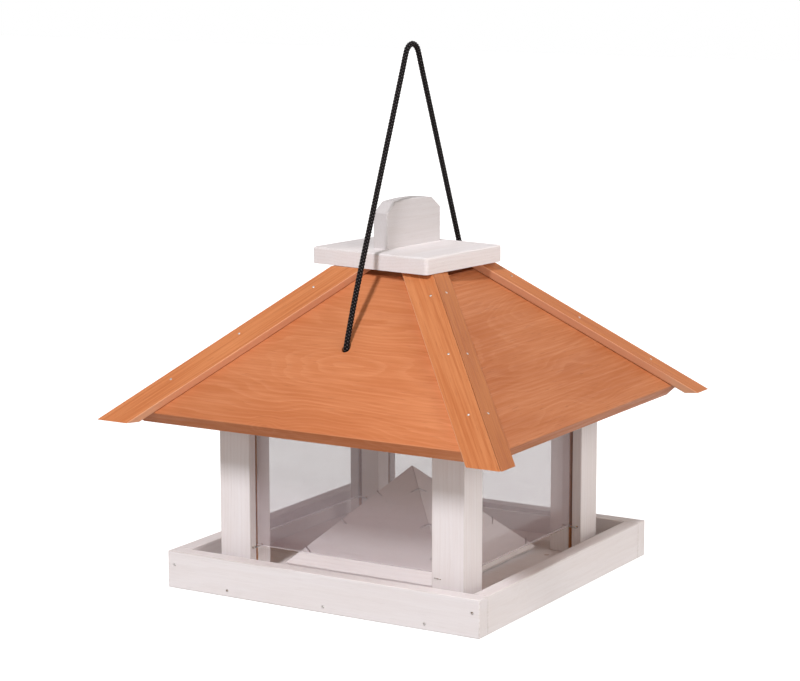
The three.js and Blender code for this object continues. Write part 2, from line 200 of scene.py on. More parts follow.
def braided_cord(name, line, side, material):
    """A plaited tube along a line; side is a direction that is never along the line."""
    bm = bmesh.new()
    bmesh.ops.create_grid(bm, x_segments=len(line) - 1, y_segments=ROPE_SIDES, size=1)
    braid = bm.verts.layers.float.new("braid")
    step = length_of(line) / (len(line) - 1)
    for vert in bm.verts:
        index = round((vert.co.x + 1) / 2 * (len(line) - 1))
        angle = math.pi * (vert.co.y + 1)
        tangent = (line[min(index + 1, len(line) - 1)] - line[max(index - 1, 0)]).normalized()
        across = tangent.cross(side).normalized()
        height = braid_height(index * step, angle)
        radius = ROPE_DIAMETER / 2 * (1 - BRAID_RELIEF * (1 - height))
        vert[braid] = height
        vert.co = line[index] + radius * (
            math.cos(angle) * across + math.sin(angle) * across.cross(tangent))
    bmesh.ops.remove_doubles(bm, verts=bm.verts, dist=ROPE_DIAMETER / 1000)
    bmesh.ops.holes_fill(bm, edges=[edge for edge in bm.edges if edge.is_boundary])
    bmesh.ops.recalc_face_normals(bm, faces=bm.faces)
    for face in bm.faces:
        face.smooth = len(face.verts) == 4
    return link_piece(name, bm, material)


def add_node(tree, kind, inputs=None, **settings):
    """A shader node with its settings, and with each input linked or given a value."""
    made = tree.nodes.new(kind)
    for key, value in settings.items():
        setattr(made, key, value)
    for key, value in (inputs or {}).items():
        if isinstance(value, bpy.types.NodeSocket):
            tree.links.new(value, made.inputs[key])
        else:
            made.inputs[key].default_value = value
    return made


def math_node(tree, operation, first, second=0.0):
    return add_node(tree, "ShaderNodeMath", {0: first, 1: second}, operation=operation).outputs[0]


def mix_node(tree, factor, first, second, blend="MIX"):
    made = add_node(tree, "ShaderNodeMix", data_type="RGBA", blend_type=blend)
    for index, value in ((0, factor), (6, first), (7, second)):
        if isinstance(value, bpy.types.NodeSocket):
            tree.links.new(value, made.inputs[index])
        else:
            made.inputs[index].default_value = value
    return made.outputs[2]


def range_node(tree, value, low, high, to_low=0.0, to_high=1.0):
    """Maps a value from one range to another with soft ends."""
    return add_node(tree, "ShaderNodeMapRange", {
        "Value": value, "From Min": low, "From Max": high, "To Min": to_low, "To Max": to_high,
    }, interpolation_type="SMOOTHSTEP").outputs[0]


def new_material(name):
    material = bpy.data.materials.new(name)
    material.use_nodes = True
    return material, material.node_tree, material.node_tree.nodes["Principled BSDF"]


def black_cord_material():
    """Black fibre: the strands' backs are painted lighter as a painted highlight, and the gaps between them
    near black as painted shade.
    """
    material, tree, shader = new_material("black_rope")
    braid = add_node(tree, "ShaderNodeAttribute", attribute_name="braid").outputs["Fac"]
    place = add_node(tree, "ShaderNodeTexCoord").outputs["Object"]
    fuzz = add_node(tree, "ShaderNodeTexNoise", {
        "Vector": place, "Scale": 2600.0, "Detail": 2.0, "Roughness": 0.7}).outputs["Fac"]
    # The raised backs of the strands get the painted highlight, and the rest gets the painted shade.
    raised = range_node(tree, braid, 0.66, 0.95)
    lively = range_node(tree, fuzz, 0.2, 0.6, 0.6, 1)
    crown = math_node(tree, "MULTIPLY", raised, lively)
    colour = mix_node(tree, crown, GAP_SHADE_COLOUR, STRAND_GLINT_COLOUR)
    tree.links.new(colour, shader.inputs["Base Color"])
    tree.links.new(range_node(tree, fuzz, 0.2, 0.8, 0.62, 0.8), shader.inputs["Roughness"])
    bump = add_node(tree, "ShaderNodeBump", {"Height": fuzz, "Strength": 0.4, "Distance": 0.0001})
    tree.links.new(bump.outputs[0], shader.inputs["Normal"])
    shader.inputs["Specular IOR Level"].default_value = 0.08
    return material


black_cord = black_cord_material()
rope_line = evenly_spaced(smooth_line([Vector((0, y, z)) for y, z in ROPE_ROUTE]), RING_STEP)
rope = braided_cord("braided_rope", rope_line, X_AXIS, black_cord)
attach(rope, "table")
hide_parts("hanging_rope")

# Rope knots
# Each end of the rope is tied in an overhand knot under its roof board, with a short tail.
# The knot is too big for the hole, so it carries the table.
KNOT_SIZE = 0.0026
KNOT_WAIST = 0.42
KNOT_LOBES = 0.84
KNOT_RISE = 0.62
KNOT_SPAN = 0.89
KNOT_STEPS = 96
KNOT_TAIL_DOWN = 0.00675
KNOT_TAIL_ACROSS = 0.001875
HANG_INWARDS = 0.34
HANG_DOWN = 0.94
NEVER_ALONG_KNOT = Vector((0.31, 0.23, 0.92))


def knot_line(middle, down):
    """An overhand knot pulled tight about the middle of its solid, then its tail."""
    outward = down.cross(X_AXIS)
    points = []
    for i in range(KNOT_STEPS + 1):
        turn = 2 * math.pi * ((1 - KNOT_SPAN) / 2 + KNOT_SPAN * i / KNOT_STEPS)
        loop = KNOT_WAIST * math.sin(turn) + KNOT_LOBES * math.sin(2 * turn)
        swing = KNOT_WAIST * math.cos(turn) - KNOT_LOBES * math.cos(2 * turn)
        rise = -KNOT_RISE * math.sin(3 * turn)
        points.append(middle + KNOT_SIZE * (loop * X_AXIS + swing * outward + rise * down))
    tail = points[-1] + KNOT_TAIL_DOWN * down + KNOT_TAIL_ACROSS * X_AXIS
    return evenly_spaced([*points, points[-1].lerp(tail, 0.5), tail], 2 * RING_STEP)


for side in ("front", "back"):
    low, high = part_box(f"rope_knot_{side}")
    outwards = math.copysign(1, (low.y + high.y) / 2)
    down = Vector((0, -HANG_INWARDS * outwards, -HANG_DOWN)).normalized()
    line = knot_line((low + high) / 2, down)
    knot = braided_cord(f"overhand_knot_{side}", line, NEVER_ALONG_KNOT, black_cord)
    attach(knot, "table")
    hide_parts(f"rope_knot_{side}")

# Tray
# A softwood floor board between four planed rails, brushed with thin white paint.
# The front and back rails run the full width and are nailed to the side rails and the floor.
RAIL_ROUNDING = 0.0008
BOARD_ROUNDING = 0.0005
SHORTEST_EASED_EDGE = 0.0045
FLAT_WITHIN = math.radians(0.5)
SHARP_FROM = math.radians(25)
WELD = 0.000002
Y_AXIS = Vector((0, 1, 0))
Z_AXIS = Vector((0, 0, 1))
TIMBER_MASKS = ("Rings", "Streaks", "Fibre", "Marks", "Figure", "Knots")
GRAIN_START = 9
# How often each mark changes in a metre along, across and through the grain
STREAKS = (14, 620, 620)
FIBRES = (90, 3200, 3200)
SHORT_MARKS = (75, 1500, 1500)
CLOUDS = (9, 42, 42)
RING_BENDS = (5.5, 16, 16)
RING_RIPPLES = (30, 260, 260)
RIPPLE = 0.7
KNOTS_IN_A_METRE = 13.0
KNOT_SWEEP = 2.4


def timber_group():
    """The figure of planed timber, from a place given along, across and through the grain."""
    group = bpy.data.node_groups.new("planed_timber", "ShaderNodeTree")
    group.interface.new_socket("Timber", in_out="INPUT", socket_type="NodeSocketVector")
    for name in ("Ring Spacing", "Wander", "Knot Size"):
        group.interface.new_socket(name, in_out="INPUT", socket_type="NodeSocketFloat")
    for name in TIMBER_MASKS:
        group.interface.new_socket(name, in_out="OUTPUT", socket_type="NodeSocketFloat")
    given = group.nodes.new("NodeGroupInput").outputs
    result = group.nodes.new("NodeGroupOutput").inputs

    def noise(stretch, detail=2.0, roughness=0.5):
        place = add_node(group, "ShaderNodeVectorMath", {0: given["Timber"], 1: stretch},
                         operation="MULTIPLY").outputs[0]
        return add_node(group, "ShaderNodeTexNoise", {
            "Vector": place, "Scale": 1.0, "Detail": detail, "Roughness": roughness}).outputs

    cells = add_node(group, "ShaderNodeTexVoronoi", {
        "Vector": given["Timber"], "Scale": KNOTS_IN_A_METRE, "Randomness": 1.0})
    metres_off = math_node(group, "DIVIDE", cells.outputs["Distance"], KNOTS_IN_A_METRE)
    knots_off = math_node(group, "DIVIDE", metres_off, given["Knot Size"])
    knot = range_node(group, knots_off, 0.75, 1.1, 1, 0)
    flow = range_node(group, knots_off, 0.0, 6.0, 1, 0)

    drift = add_node(group, "ShaderNodeVectorMath", {
        0: noise(RING_BENDS)["Color"], 1: (0.5, 0.5, 0.5)}, operation="SUBTRACT").outputs[0]
    drift = add_node(group, "ShaderNodeVectorMath", {
        0: drift, "Scale": given["Wander"]}, operation="SCALE").outputs[0]
    moved = add_node(group, "ShaderNodeVectorMath", {
        0: given["Timber"], 1: drift}, operation="ADD").outputs[0]
    section = add_node(group, "ShaderNodeVectorMath", {
        0: moved, 1: (0.0, 1.0, 1.0)}, operation="MULTIPLY").outputs[0]
    reach = add_node(group, "ShaderNodeVectorMath", {0: section}, operation="LENGTH").outputs["Value"]
    years = math_node(group, "DIVIDE", reach, given["Ring Spacing"])
    years = math_node(group, "ADD", years, math_node(group, "MULTIPLY", flow, KNOT_SWEEP))
    ripple = math_node(group, "MULTIPLY", noise(RING_RIPPLES)["Fac"], RIPPLE)
    years = math_node(group, "ADD", years, ripple)
    year = math_node(group, "FRACT", years)
    darkening = range_node(group, year, 0.35, 0.9)
    ending = range_node(group, year, 0.9, 1.0, 1, 0)
    late = math_node(group, "MULTIPLY", darkening, ending)
    weather = add_node(group, "ShaderNodeTexWhiteNoise", {
        "W": math_node(group, "FLOOR", years)}, noise_dimensions="1D").outputs["Value"]
    rings = math_node(group, "MULTIPLY", late, range_node(group, weather, 0.0, 1.0, 0.35, 1.0))

    masks = {
        "Rings": rings,
        "Streaks": range_node(group, noise(STREAKS, 3.0)["Fac"], 0.3, 0.7),
        "Fibre": range_node(group, noise(FIBRES, 3.0, 0.65)["Fac"], 0.25, 0.75),
        "Marks": range_node(group, noise(SHORT_MARKS, 1.0)["Fac"], 0.66, 0.76),
        "Figure": range_node(group, noise(CLOUDS, 3.0, 0.6)["Fac"], 0.3, 0.7),
        "Knots": knot,
    }
    for name, mask in masks.items():
        group.links.new(mask, result[name])
    return group


planed_timber = timber_group()


def timber_material(name, ring_spacing, wander, knot_size, colours, strengths, roughness, sheen, relief):
    """Planed timber under a thin finish: rings, fibres, short dark marks, knots, and arrises that are
    rubbed pale or, on whitewash, darkened as painted shade.
    """
    material, tree, shader = new_material(name)
    timber = add_node(tree, "ShaderNodeAttribute", attribute_name="timber").outputs["Vector"]
    arris = add_node(tree, "ShaderNodeAttribute", attribute_name="arris").outputs["Fac"]
    bare = add_node(tree, "ShaderNodeAttribute", attribute_name="bare").outputs["Fac"]
    tone = add_node(tree, "ShaderNodeAttribute", attribute_name="tone").outputs["Fac"]
    grain = add_node(tree, "ShaderNodeGroup", node_tree=planed_timber)
    tree.links.new(timber, grain.inputs["Timber"])
    grain.inputs["Ring Spacing"].default_value = ring_spacing
    grain.inputs["Wander"].default_value = wander
    grain.inputs["Knot Size"].default_value = knot_size
    masks = {name: grain.outputs[name] for name in TIMBER_MASKS}
    # Eased arrises take the Arris colour: paler rubbed edges on the stains, and on the whitewash a darker
    # painted shade that dulls the light on the rounded edges, partly paint rubbed through.
    patchy = range_node(tree, masks["Streaks"], 0.2, 0.9, 0.3, 1.0)
    masks["Arris"] = math_node(tree, "MULTIPLY", arris, patchy)
    colour = mix_node(tree, masks["Figure"], colours["body"], colours["cloud"])
    for mark, strength in strengths.items():
        factor = math_node(tree, "MULTIPLY", masks[mark], strength)
        colour = mix_node(tree, factor, colour, colours[mark])
    colour = mix_node(tree, bare, colour, colours["Bare"])
    toned = add_node(tree, "ShaderNodeVectorMath", {0: colour, "Scale": tone}, operation="SCALE").outputs[0]
    tree.links.new(toned, shader.inputs["Base Color"])
    dulled = range_node(tree, masks["Streaks"], 0.0, 1.0, *roughness)
    tree.links.new(dulled, shader.inputs["Roughness"])
    fibres = math_node(tree, "MULTIPLY", masks["Fibre"], 0.5)
    rings = math_node(tree, "MULTIPLY", masks["Rings"], 0.6)
    pits = math_node(tree, "MULTIPLY", masks["Marks"], 0.5)
    height = math_node(tree, "SUBTRACT", math_node(tree, "ADD", fibres, rings), pits)
    bump = add_node(tree, "ShaderNodeBump", {"Height": height, "Strength": 0.6, "Distance": relief})
    tree.links.new(bump.outputs[0], shader.inputs["Normal"])
    shader.inputs["Specular IOR Level"].default_value = sheen
    return material


whitewash = timber_material(
    "whitewashed_wood",
    ring_spacing=0.0024,
    wander=0.012,
    knot_size=0.0022,
    colours={
        "body": (0.80, 0.755, 0.75, 1),
        "cloud": (0.82, 0.79, 0.80, 1),
        "Rings": (0.62, 0.53, 0.50, 1),
        "Streaks": (0.66, 0.60, 0.59, 1),
        "Fibre": (0.86, 0.83, 0.83, 1),
        "Marks": (0.52, 0.44, 0.41, 1),
        "Knots": (0.34, 0.20, 0.12, 1),
        # Darker edges: painted shade that dulls the light on the rounded edges, partly paint rubbed
        # through.
        "Arris": (0.52, 0.46, 0.42, 1),
        "Bare": (0.85, 0.5, 0.28, 1),
    },
    strengths={"Rings": 0.16, "Streaks": 0.14, "Fibre": 0.3, "Marks": 0.16, "Knots": 0.55, "Arris": 0.4},
    roughness=(0.5, 0.68),
    sheen=0.35,
    relief=0.00012,
)


def eased_copy(node, rounding, name):
    """A copy of a solid with its long outer edges eased, ready for timber or metal."""
    solid = frame["nodes"][node]
    bm = bmesh.new()
    bm.from_mesh(solid.data)
    bmesh.ops.remove_doubles(bm, verts=bm.verts, dist=WELD)
    bmesh.ops.dissolve_limit(
        bm, angle_limit=FLAT_WITHIN, verts=bm.verts, edges=bm.edges, delimit=set())
    for face in bm.faces:
        face.smooth = False
    arris = bm.faces.layers.float.new("arris")
    long_edges = [
        edge for edge in bm.edges
        if edge.is_manifold and edge.is_convex
        and edge.calc_face_angle(0) > SHARP_FROM
        and edge.calc_length() > SHORTEST_EASED_EDGE
    ]
    if rounding:
        eased = bmesh.ops.bevel(
            bm, geom=long_edges, offset=rounding, offset_type="OFFSET", segments=3,
            profile=0.5, affect="EDGES", clamp_overlap=True, material=-1)
        for face in eased["faces"]:
            face.smooth = True
            face[arris] = 1
    return link_piece(name, bm, None), solid["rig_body"]


def saw_board(node, along, across, pith, material, rounding, tone=1.0, drift=0.0):
    """A board of a node's shape; pith is how far its tree's heart lies, across and through the board.

    Its colour is multiplied by tone, and grows paler along the grain by the share drift for each metre.
    """
    piece, body = eased_copy(node, rounding, f"planed_{node}")
    mesh = piece.data
    mesh.materials[0] = material
    low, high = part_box(node)
    middle = (low + high) / 2
    through = along.cross(across)
    # Both layers are made before either is fetched, because a new one moves the others in memory.
    mesh.attributes.new("timber", "FLOAT_VECTOR", "POINT")
    mesh.attributes.new("tone", "FLOAT", "POINT")
    grain, tones = mesh.attributes["timber"], mesh.attributes["tone"]
    start = random.Random(node).uniform(-GRAIN_START, GRAIN_START)
    for vert, place, shade in zip(mesh.vertices, grain.data, tones.data):
        offset = vert.co - middle
        place.vector = (
            offset.dot(along) + start,
            offset.dot(across) + pith[0],
            offset.dot(through) + pith[1],
        )
        shade.value = tone * (1 + drift * offset.dot(along))
    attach(piece, body)
    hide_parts(node)
    return piece


saw_board("base_board", X_AXIS, Y_AXIS, (0.03, 0.05), whitewash, BOARD_ROUNDING)
for side, along, pith in (
    ("front", X_AXIS, (0.012, 0.05)),
    ("back", X_AXIS, (-0.02, 0.06)),
    ("left", Y_AXIS, (0.03, 0.04)),
    ("right", Y_AXIS, (-0.015, 0.045)),
):
    saw_board(f"tray_rail_{side}", along, Z_AXIS, pith, whitewash, RAIL_ROUNDING)

# Tray nails
# Bright wire nails with small round heads, driven just below the face of the front and back rails.
NAIL_SHANK = 0.0013
NAIL_CROWN = 0.0002
NAIL_SUNK = 0.00025
NAIL_SIDES = 18
STEEL_COLOUR = (0.50, 0.48, 0.46, 1)
WATER_STAIN = (0.22, 0.14, 0.09, 1)


def spun(profile, sides):
    """A closed round shape about Z from its half section."""
    bm = bmesh.new()
    verts = [bm.verts.new((x, 0, z)) for x, z in profile]
    edges = [bm.edges.new(pair) for pair in zip(verts, verts[1:])]
    bmesh.ops.spin(
        bm, geom=[*verts, *edges], cent=(0, 0, 0), axis=(0, 0, 1),
        angle=2 * math.pi, steps=sides, use_merge=True)
    bmesh.ops.remove_doubles(bm, verts=bm.verts, dist=WELD)
    bmesh.ops.recalc_face_normals(bm, faces=bm.faces)
    for face in bm.faces:
        face.smooth = True
    return bm


def set_in_place(bm, point, facing):
    """Turns a shape so that its top faces a direction, and moves it to a point."""
    turn = Z_AXIS.rotation_difference(facing).to_matrix().to_4x4()
    bmesh.ops.transform(bm, matrix=Matrix.Translation(point) @ turn, verts=bm.verts)


def bright_steel_material():
    """Drawn steel wire, a little dull, with faint brown where the paint's water stained it."""
    material, tree, shader = new_material("bright_steel")
    place = add_node(tree, "ShaderNodeTexCoord").outputs["Object"]
    stain = add_node(tree, "ShaderNodeTexNoise", {
        "Vector": place, "Scale": 420.0, "Detail": 3.0, "Roughness": 0.6}).outputs["Fac"]
    spots = range_node(tree, stain, 0.5, 0.72)
    colour = mix_node(tree, spots, STEEL_COLOUR, WATER_STAIN)
    tree.links.new(colour, shader.inputs["Base Color"])
    tree.links.new(range_node(tree, spots, 0, 1, 0.28, 0.62), shader.inputs["Roughness"])
    drawn = add_node(tree, "ShaderNodeTexNoise", {
        "Vector": place, "Scale": 3000.0, "Detail": 1.0}).outputs["Fac"]
    bump = add_node(tree, "ShaderNodeBump", {"Height": drawn, "Strength": 0.3, "Distance": 0.00004})
    tree.links.new(bump.outputs[0], shader.inputs["Normal"])
    shader.inputs["Metallic"].default_value = 1.0
    return material


bright_steel = bright_steel_material()


def nail_profile(length, shank, head, crown):
    """Half section of a nail that hangs down from its head's rim at 0."""
    return [
        (0, crown), (0.6 * head / 2, 0.8 * crown), (head / 2, 0), (head / 2, -crown),
        (shank / 2, -2.5 * crown), (shank / 2, 2 * shank - length), (0, -length),
    ]


def wear_steel(piece, body, *nodes):
    """Attaches a steel fastener to its body and hides the solids that it stands for."""
    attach(piece, body)
    if nodes:
        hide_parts(*nodes)


for side, facing in (("front", -Y_AXIS), ("back", Y_AXIS)):
    for place in ("corner_left", "corner_right", "base_1", "base_2", "base_3"):
        node = f"nail_{side}_{place}"
        low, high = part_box(node)
        middle = (low + high) / 2
        head = high.x - low.x
        face = low.y if side == "front" else high.y
        length = high.y - low.y - NAIL_SUNK
        bm = spun(nail_profile(length, NAIL_SHANK, head, NAIL_CROWN), NAIL_SIDES)
        set_in_place(bm, Vector((middle.x, face, middle.z)) - NAIL_SUNK * facing, facing)
        wear_steel(link_piece(f"wire_{node}", bm, bright_steel), "table", node)

# Posts
# Four square whitewashed posts with two saw cuts each for the panes, sawn after painting.
# Their heads follow the slopes of the roof, and their feet stand on the floor board.
POST_ROUNDING = 0.0006
PAINTED_SKIN = 0.0009
POST_PITHS = {
    "front_right": (0.02, 0.03),
    "back_right": (-0.03, 0.02),
    "back_left": (0.035, -0.02),
    "front_left": (-0.02, 0.035),
}

for corner, pith in POST_PITHS.items():
    node = f"post_{corner}"
    post = saw_board(node, Z_AXIS, X_AXIS, pith, whitewash, POST_ROUNDING)
    low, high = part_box(node)
    # The walls of the saw cuts are the upright faces inside the painted skin.
    bare = post.data.attributes.new("bare", "FLOAT", "FACE")
    for face, mark in zip(post.data.polygons, bare.data):
        within = all(
            low[i] + PAINTED_SKIN < face.center[i] < high[i] - PAINTED_SKIN for i in (0, 1))
        mark.value = within and abs(face.normal.z) < 0.5

# Post screws
# Countersunk steel screws with a cross recess, driven up through the floor into the posts.
RECESS_LENGTH = 0.0042
RECESS_WIDTH = 0.0009
RECESS_DEPTH = 0.0016
RECESS_TAPER = 0.6
SCREW_SHANK = 0.0035
SCREW_HEAD = 0.007
SCREW_HEAD_HEIGHT = 0.0028
SCREW_FLAT = 0.96
SCREW_RIM = 0.0003
SCREW_SIDES = 24


def cross_recess():
    """The cross that a driver fits, as a solid to be cut from a screw head at 0."""
    bm = bmesh.new()
    for length, width in ((RECESS_LENGTH, RECESS_WIDTH), (RECESS_WIDTH, RECESS_LENGTH)):
        bar = bmesh.ops.create_cube(bm, size=1)["verts"]
        bmesh.ops.scale(bm, vec=(length, width, 2 * RECESS_DEPTH), verts=bar)
        foot = [vert for vert in bar if vert.co.z < 0]
        bmesh.ops.scale(bm, vec=(RECESS_TAPER, RECESS_TAPER, 1), verts=foot)
    return bm


def recessed_screw(name, length, shank, head, head_height, point, facing):
    """A countersunk screw with its flat head at a point, facing out of the wood."""
    bm = spun([
        (0, 0), (SCREW_FLAT * head / 2, 0), (head / 2, -SCREW_RIM), (shank / 2, -head_height),
        (shank / 2, 2 * shank - length), (0, -length),
    ], SCREW_SIDES)
    screw = link_piece(name, bm, bright_steel)
    cutter = link_piece("driver_cross", cross_recess(), bright_steel)
    cut = screw.modifiers.new("cross", "BOOLEAN")
    cut.object = cutter
    cut.operation = "DIFFERENCE"
    cut.solver = "EXACT"
    cut.use_self = True
    shaped = bpy.data.meshes.new_from_object(
        screw.evaluated_get(bpy.context.evaluated_depsgraph_get()))
    bpy.data.objects.remove(screw)
    bpy.data.objects.remove(cutter)
    bm = bmesh.new()
    bm.from_mesh(shaped)
    for face in bm.faces:
        face.smooth = False
    set_in_place(bm, point, facing)
    return link_piece(name, bm, bright_steel)


def screw_from_below(node, body, shank, head, head_height):
    """A screw in place of a node's solid, with its head down."""
    low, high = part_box(node)
    foot = Vector(((low.x + high.x) / 2, (low.y + high.y) / 2, low.z))
    screw = recessed_screw(
        f"recessed_{node}", high.z - low.z, shank, head, head_height, foot, -Z_AXIS)
    wear_steel(screw, body, node)


for corner in POST_PITHS:
    screw_from_below(f"post_screw_{corner}", "table", SCREW_SHANK, SCREW_HEAD, SCREW_HEAD_HEIGHT)

# Pane staples
# Wire staples across the saw cuts near the feet of the posts; their crowns stand off the wood,
# and the panes rest on them. They were pushed in by hand tool, so none is quite straight.
STAPLE_WIRE = 0.0011
STAPLE_BEND = 0.0011
STAPLE_TILT = 0.0007


def rounded_corners(points, radius, steps=4):
    """A line with each inner corner taken round by short steps."""
    line = [points[0]]
    for before, corner, after in zip(points, points[1:], points[2:]):
        start = corner + radius * (before - corner).normalized()
        end = corner + radius * (after - corner).normalized()
        for i in range(steps + 1):
            t = i / steps
            line.append(start.lerp(corner, t).lerp(corner.lerp(end, t), t))
    return [*line, points[-1]]


def bent_wire(bm, line, diameter, side, sides=10):
    """A round wire along a flat line; side is square to the plane that it lies in."""
    rings = []
    for index, point in enumerate(line):
        ahead = line[min(index + 1, len(line) - 1)] - line[max(index - 1, 0)]
        tangent = ahead.normalized()
        across = tangent.cross(side).normalized()
        turn = Matrix((across, tangent.cross(across), tangent)).transposed().to_4x4()
        ring = bmesh.ops.create_circle(
            bm, segments=sides, radius=diameter / 2, matrix=Matrix.Translation(point) @ turn)["verts"]
        rings.append(ring)
    for ring, following in zip(rings, rings[1:]):
        loops = [edge for edge in bm.edges if all(v in ring or v in following for v in edge.verts)]
        bmesh.ops.bridge_loops(bm, edges=loops)
    for ring in (rings[0], rings[-1]):
        bm.faces.new(ring)
    for face in bm.faces:
        face.smooth = len(face.verts) == 4


def turned_outwards(bm):
    """The same wires with all their faces pointing outwards."""
    bmesh.ops.recalc_face_normals(bm, faces=bm.faces)
    return bm


staple_nodes = sorted(name for name in frame["nodes"] if name.startswith("staple_"))
for node in staple_nodes:
    low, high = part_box(node)
    chance = random.Random(node)
    middle = (low + high) / 2
    along_x = high.x - low.x > high.y - low.y
    crown = X_AXIS if along_x else Y_AXIS
    drive = Y_AXIS if along_x else X_AXIS
    drive = drive * math.copysign(1, middle.dot(drive))
    half_crown = (high - low).dot(crown) / 2 - STAPLE_WIRE / 2
    half_depth = abs((high - low).dot(drive)) / 2
    tilt = Z_AXIS * chance.uniform(-STAPLE_TILT, STAPLE_TILT)
    near = middle - drive * (half_depth - STAPLE_WIRE / 2)
    far = middle + drive * half_depth
    points = [
        far - crown * half_crown + tilt,
        near - crown * half_crown + tilt,
        near + crown * half_crown - tilt,
        far + crown * half_crown - tilt,
    ]
    bm = bmesh.new()
    bent_wire(bm, rounded_corners(points, STAPLE_BEND), STAPLE_WIRE, Z_AXIS)
    wear_steel(link_piece(f"wire_{node}", turned_outwards(bm), bright_steel), "table", node)

# Panes
# Four sheets of clear plastic, 2 mm thick with sawn edges, which stand loose in the saw cuts.
PANE_ROUNDING = 0.0002
PANE_VEIL = (0.23, 0.25)
EDGE_VEIL = 0.25
PANE_CAST = (0.285, 0.215, 0.25, 1)
SMEAR_CAST = (0.325, 0.25, 0.285, 1)
SAWN_EDGE = (0.82, 0.78, 0.8, 1)
PANE_SHADOW = 0.3
PANE_IOR = 2.1
SIDES = ("front", "right", "back", "left")


def clear_acrylic_material():
    """Clear sheet with a faint lilac cast, wiped smears and pale sawn edges.

    Alpha thins the gloss along with the cast, so the IOR is raised to leave 3% on each face.
    """
    material, tree, shader = new_material("clear_acrylic")
    place = add_node(tree, "ShaderNodeTexCoord").outputs["Object"]
    stretched = add_node(tree, "ShaderNodeMapping", {"Vector": place, "Scale": (1, 1, 3)}).outputs[0]
    smear = add_node(tree, "ShaderNodeTexNoise", {
        "Vector": stretched, "Scale": 34.0, "Detail": 4.0, "Roughness": 0.6, "Distortion": 0.8,
    }).outputs["Fac"]
    sawn = add_node(tree, "ShaderNodeAttribute", attribute_name="arris").outputs["Fac"]
    veil = range_node(tree, smear, 0.3, 0.75, *PANE_VEIL)
    veil = math_node(tree, "ADD", veil, math_node(tree, "MULTIPLY", sawn, EDGE_VEIL))
    rays = add_node(tree, "ShaderNodeLightPath").outputs
    lighting = math_node(tree, "MAXIMUM", rays["Is Shadow Ray"], rays["Is Diffuse Ray"])
    passed = range_node(tree, lighting, 0, 1, 1, PANE_SHADOW)
    tree.links.new(math_node(tree, "MULTIPLY", veil, passed), shader.inputs["Alpha"])
    cast = mix_node(tree, smear, PANE_CAST, SMEAR_CAST)
    tree.links.new(mix_node(tree, sawn, cast, SAWN_EDGE), shader.inputs["Base Color"])
    tree.links.new(range_node(tree, smear, 0.3, 0.8, 0.03, 0.14), shader.inputs["Roughness"])
    shader.inputs["IOR"].default_value = PANE_IOR
    return material


clear_acrylic = clear_acrylic_material()
for side in SIDES:
    pane, body = eased_copy(f"pane_{side}", PANE_ROUNDING, f"clear_pane_{side}")
    pane.data.materials[0] = clear_acrylic
    widest = max(face.area for face in pane.data.polygons)
    for face, sawn in zip(pane.data.polygons, pane.data.attributes["arris"].data):
        sawn.value = face.area < 0.5 * widest
    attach(pane, body)
    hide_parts(f"pane_{side}")

# Seed pyramid
# Four thin mitred boards lean together over the middle of the floor, so that seed slides outwards.
# Small staples bridge the joints, and a brad holds each board.
PYRAMID_ROUNDING = 0.0003
RIDGE_WIRE = 0.001
RIDGE_CROWN = 0.0135
RIDGE_LEG = 0.004
RIDGE_SHARES = (0.18, 0.44, 0.72)
RIDGE_SHIFTS = {"front": 0.08, "right": -0.08}
RIDGE_WANDER = 0.02
RIDGE_SPLITS = (0.4, 0.6)
RIDGE_LIFT = 0.6
PYRAMID_BRAD_LENGTH = 0.006
PYRAMID_BRAD_SHANK = 0.0008
PYRAMID_BRAD_HEAD = 0.0016
PYRAMID_BRAD_SHARE = 0.82
PYRAMID_BRAD_WANDER = 0.006

pyramid_low, pyramid_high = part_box("pyramid_board_front")
pyramid_half = -pyramid_low.y
pyramid_tip = pyramid_high.z
for index, side in enumerate(SIDES):
    out = Matrix.Rotation(index * math.pi / 2, 3, "Z") @ -Y_AXIS
    sideways = Z_AXIS.cross(out)
    slope = (Z_AXIS - out).normalized()
    saw_board(
        f"pyramid_board_{side}", sideways, slope, (0.01 * index - 0.02, 0.055),
        whitewash, PYRAMID_ROUNDING)

    chance = random.Random(f"brads {side}")
    place = Vector((0, 0, pyramid_tip)) + PYRAMID_BRAD_SHARE * pyramid_half * (out - Z_AXIS)
    place += chance.uniform(-PYRAMID_BRAD_WANDER, PYRAMID_BRAD_WANDER) * sideways
    bm = spun(nail_profile(
        PYRAMID_BRAD_LENGTH, PYRAMID_BRAD_SHANK, PYRAMID_BRAD_HEAD, NAIL_CROWN), NAIL_SIDES)
    set_in_place(bm, place, (out + Z_AXIS).normalized())
    wear_steel(link_piece(f"pyramid_brad_{side}", bm, bright_steel), "table")

    downhill = (out + sideways - Z_AXIS).normalized()
    faces = [(out + Z_AXIS).normalized(), (sideways + Z_AXIS).normalized()]
    away = [downhill.cross(faces[0]), faces[1].cross(downhill)]
    bm = bmesh.new()
    for share in RIDGE_SHARES:
        wander = chance.uniform(-RIDGE_WANDER, RIDGE_WANDER)
        reach = pyramid_half * (1 - share - RIDGE_SHIFTS.get(side, 0) + wander)
        ridge = Vector((0, 0, pyramid_tip)) + reach * (out + sideways - Z_AXIS)
        split = chance.uniform(*RIDGE_SPLITS)
        ends = [ridge + part * RIDGE_CROWN * apart + 0.5 * RIDGE_WIRE * face
                for part, apart, face in zip((split, 1 - split), away, faces)]
        points = [
            ends[0] - RIDGE_LEG * faces[0],
            ends[0],
            ridge + RIDGE_LIFT * RIDGE_WIRE * (faces[0] + faces[1]),
            ends[1],
            ends[1] - RIDGE_LEG * faces[1],
        ]
        bent_wire(bm, rounded_corners(points, STAPLE_BEND), RIDGE_WIRE, downhill, sides=8)
    wear_steel(link_piece(f"ridge_staples_{side}", turned_outwards(bm), bright_steel), "table")

